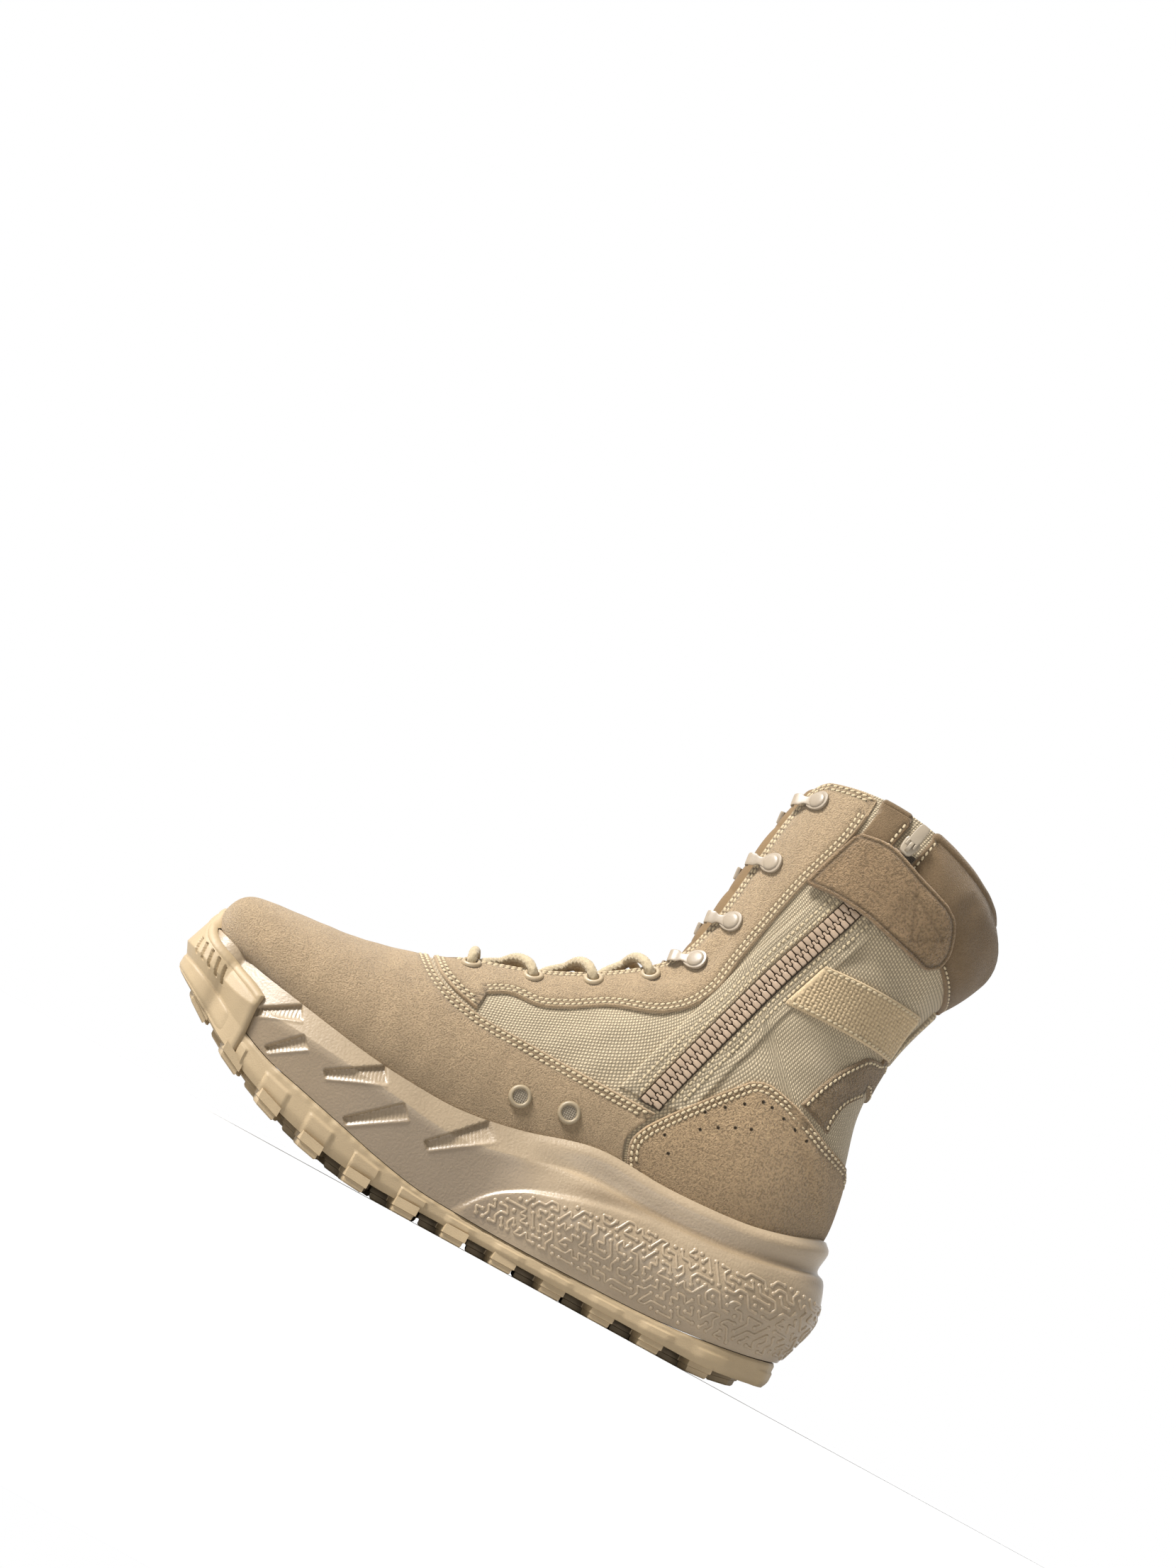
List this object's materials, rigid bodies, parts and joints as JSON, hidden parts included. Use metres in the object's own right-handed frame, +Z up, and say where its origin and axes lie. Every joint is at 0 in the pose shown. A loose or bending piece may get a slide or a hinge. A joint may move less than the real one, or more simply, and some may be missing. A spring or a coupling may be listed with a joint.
{
  "type": "tactical boot",
  "caption": "Mid-height suede and woven nylon boot with speed laces, a covered side zip and a thick rocker sole.",
  "frame": {"origin": "bottom centre of the boot's box, on the floor under the sole", "axes": "+Z up, -X towards the toe, -Y towards the inner (medial) side"},
  "size_m": [0.3155, 0.1047, 0.2534],
  "materials": {
    "lace": "braided cord",
    "lining": "woven lining",
    "midsole_foam": "pebbled foam",
    "outsole_rubber": "matte moulded rubber",
    "painted_metal": "satin paint",
    "suede": "napped suede",
    "webbing": "coarse woven band",
    "woven_nylon": "plain weave",
    "zip_chain": "moulded teeth"
  },
  "bodies": {
    "boot": {"back_stay": "woven_nylon", "collar_front": "suede", "cuff": "suede", "eyelet_lateral_1": "painted_metal", "eyelet_lateral_2": "painted_metal", "eyelet_lateral_3": "painted_metal", "eyelet_lateral_4": "painted_metal", "eyelet_medial_1": "painted_metal", "eyelet_medial_2": "painted_metal", "eyelet_medial_3": "painted_metal", "eyelet_medial_4": "painted_metal", "eyestay_lateral": "suede", "eyestay_medial": "suede", "heel_counter": "suede", "heel_tab": "suede", "hook_lateral_1": "painted_metal", "hook_lateral_2": "painted_metal", "hook_lateral_3": "painted_metal", "hook_lateral_4": "painted_metal", "hook_medial_1": "painted_metal", "hook_medial_2": "painted_metal", "hook_medial_3": "painted_metal", "hook_medial_4": "painted_metal", "insole": "lining", "lace_bar": "lace", "lace_cross_1": "lace", "lace_cross_2": "lace", "lace_cross_3": "lace", "midsole": "midsole_foam", "outsole": "outsole_rubber", "tongue": "lining", "upper": "woven_nylon", "vamp": "suede", "vent_1": "painted_metal", "vent_2": "painted_metal", "webbing_lateral": "webbing", "webbing_medial": "webbing", "zip_chain": "zip_chain", "zip_slider": "painted_metal", "zip_strap": "suede"},
    "zip_pull": {"zip_pull": "painted_metal"}
  },
  "joints": [
    {"name": "zip_pull_flip", "type": "hinge", "parent": "boot", "child": "zip_pull", "pos_m": [0.091, -0.04815, 0.23817], "axis": [0.9737, -0.0597, -0.2198], "range_deg": [0, 165]}
  ]
}
